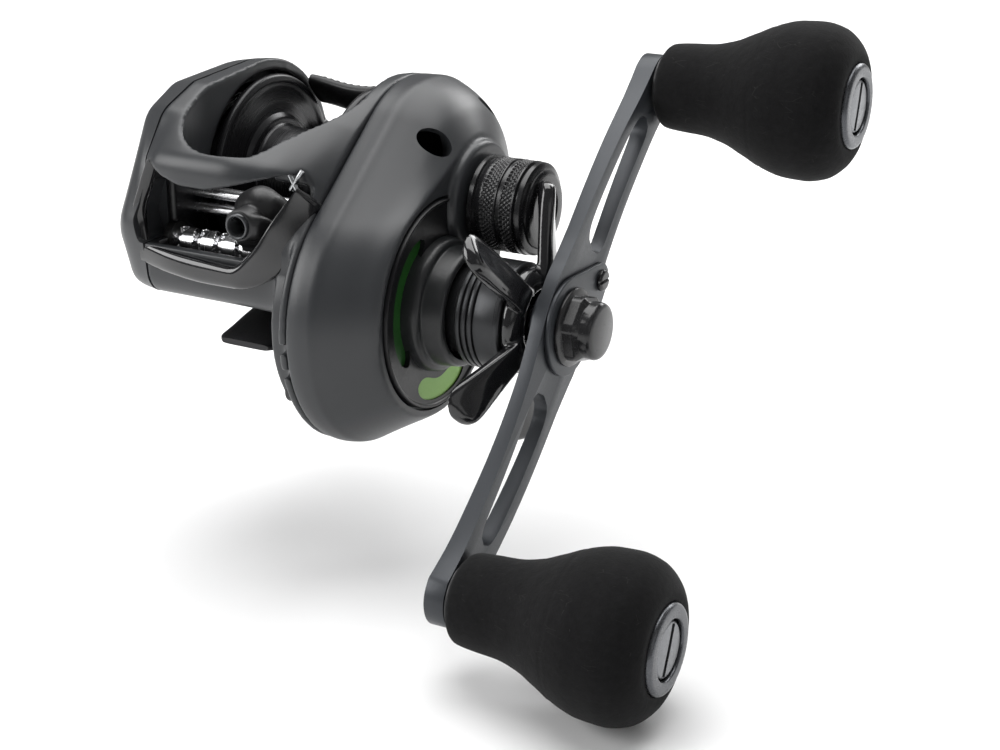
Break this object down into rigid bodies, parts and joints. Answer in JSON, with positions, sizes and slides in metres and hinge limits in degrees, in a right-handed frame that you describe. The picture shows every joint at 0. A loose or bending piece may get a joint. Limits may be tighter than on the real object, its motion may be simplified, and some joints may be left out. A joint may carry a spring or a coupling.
{
  "type": "baitcasting fishing reel",
  "caption": "Low-profile baitcasting fishing reel with a double-knob crank, star drag, worm-driven line guide and a clutch thumb bar, on a reel foot.",
  "frame": {"origin": "centre of the reel foot's flat lower face, where the rod's reel seat meets it", "axes": "+X along the spool axis towards the handle; -Y forward, the way the line leaves; +Z away from the rod, normal to the foot"},
  "size_m": [0.1213, 0.1008, 0.095],
  "materials": {
    "body_grey": "matte charcoal paint over moulded composite",
    "gloss_black": "gloss black",
    "matte_black": "satin black moulding",
    "foot_black": "black anodised",
    "green_accent": "green anodised look",
    "spool_black": "dark anodised, polished rim",
    "chrome_steel": "polished",
    "bearing_steel": "ground steel",
    "brass": "machined brass",
    "carbon": "carbon fibre friction disc",
    "blade_grey": "blue-grey anodised",
    "gunmetal": "gunmetal anodised",
    "eva_foam": "black EVA foam",
    "white_nylon": "acetal",
    "ceramic": "polished ceramic ring"
  },
  "bodies": {
    "frame_body": {"frame": "body_grey", "reel_foot": "foot_black", "foot_rivets": "chrome_steel", "front_trim": "gloss_black", "handle_side_cover": "body_grey", "accent_disc": "matte_black", "green_inserts": "green_accent", "cover_screws": "bearing_steel", "palm_side_cover": "body_grey", "magnet_ring": "bearing_steel", "spool_bearing_palm": "bearing_steel", "spool_bearing_handle": "bearing_steel", "pinion_bearing": "bearing_steel", "drive_bearing": "bearing_steel", "roller_clutch": "bearing_steel", "worm_bushings": "white_nylon", "guide_rods": "chrome_steel", "yoke_posts": "bearing_steel"},
    "spool_body": {"spool": "spool_black", "spool_shaft": "bearing_steel", "spool_cross_pin": "bearing_steel", "brake_rotor": "spool_black"},
    "brake_dial_body": {"brake_dial": "matte_black"},
    "yoke_body": {"clutch_yoke": "white_nylon"},
    "pinion_body": {"pinion": "brass"},
    "handle_body": {"drive_shaft": "bearing_steel", "main_gear": "brass", "level_drive_gear": "white_nylon", "stop_ratchet": "bearing_steel", "drag_washers_carbon": "carbon", "drag_washer_steel": "bearing_steel", "pressure_plate": "bearing_steel", "spring_washers": "bearing_steel", "clutch_sleeve": "bearing_steel", "handle_blade": "blade_grey", "handle_nut": "gunmetal", "nut_retainer": "gunmetal", "retainer_screw": "bearing_steel", "knob_axles": "bearing_steel"},
    "star_body": {"star_drag": "gloss_black", "star_collar": "matte_black"},
    "knob_upper_body": {"knob_grip_upper": "eva_foam", "knob_core_upper": "matte_black", "knob_bearings_upper": "bearing_steel", "knob_cap_upper": "gunmetal", "knob_insert_upper": "gunmetal"},
    "knob_lower_body": {"knob_grip_lower": "eva_foam", "knob_core_lower": "matte_black", "knob_bearings_lower": "bearing_steel", "knob_cap_lower": "gunmetal", "knob_insert_lower": "gunmetal"},
    "worm_body": {"worm_shaft": "chrome_steel", "worm_gear": "white_nylon"},
    "guide_body": {"line_guide_carriage": "matte_black", "line_guide_eye": "ceramic", "pawl": "brass", "pawl_cap": "matte_black"},
    "thumb_bar_body": {"thumb_bar": "matte_black"},
    "tension_cap_body": {"tension_cap": "gloss_black", "tension_disc": "carbon"}
  },
  "joints": [
    {"name": "handle_crank", "type": "hinge", "parent": "frame_body", "child": "handle_body", "pos_m": [0.05, -0.0165, 0.0095], "axis": [1, 0, 0], "continuous": true},
    {"name": "spool_spin", "type": "hinge", "parent": "frame_body", "child": "spool_body", "pos_m": [0, -0.0032, 0.02478], "axis": [1, 0, 0], "continuous": true},
    {"name": "pinion_spin", "type": "hinge", "parent": "yoke_body", "child": "pinion_body", "pos_m": [0.024, -0.0032, 0.02478], "axis": [1, 0, 0], "continuous": true},
    {"name": "yoke_slide", "type": "slide", "parent": "frame_body", "child": "yoke_body", "axis": [1, 0, 0], "range_m": [0, 0.002]},
    {"name": "thumb_bar_slide", "type": "slide", "parent": "frame_body", "child": "thumb_bar_body", "axis": [0, 0.6428, -0.766], "range_m": [0, 0.004]},
    {"name": "worm_spin", "type": "hinge", "parent": "frame_body", "child": "worm_body", "pos_m": [0, -0.028, 0.01748], "axis": [1, 0, 0], "continuous": true},
    {"name": "line_guide_travel", "type": "slide", "parent": "frame_body", "child": "guide_body", "axis": [1, 0, 0], "range_m": [-0.012, 0.005]},
    {"name": "star_drag_turn", "type": "hinge", "parent": "handle_body", "child": "star_body", "pos_m": [0.048, -0.0165, 0.0095], "axis": [1, 0, 0], "range_deg": [-360, 360]},
    {"name": "knob_upper_spin", "type": "hinge", "parent": "handle_body", "child": "knob_upper_body", "pos_m": [0.075, 0.02026, 0.04339], "axis": [1, 0, 0], "continuous": true},
    {"name": "knob_lower_spin", "type": "hinge", "parent": "handle_body", "child": "knob_lower_body", "pos_m": [0.075, -0.05326, -0.02439], "axis": [1, 0, 0], "continuous": true},
    {"name": "tension_cap_turn", "type": "hinge", "parent": "frame_body", "child": "tension_cap_body", "pos_m": [0.04, -0.0032, 0.02478], "axis": [1, 0, 0], "range_deg": [-360, 360]},
    {"name": "brake_dial_turn", "type": "hinge", "parent": "frame_body", "child": "brake_dial_body", "pos_m": [-0.027, -0.0032, 0.02478], "axis": [1, 0, 0], "range_deg": [-140, 140]}
  ],
  "couplings": [
    {"joint": "spool_spin", "follows": "handle_crank", "ratio": -6.3636},
    {"joint": "pinion_spin", "follows": "handle_crank", "ratio": -6.3636},
    {"joint": "worm_spin", "follows": "handle_crank", "ratio": -2.2941},
    {"joint": "yoke_slide", "follows": "thumb_bar_slide", "ratio": 0.5}
  ]
}
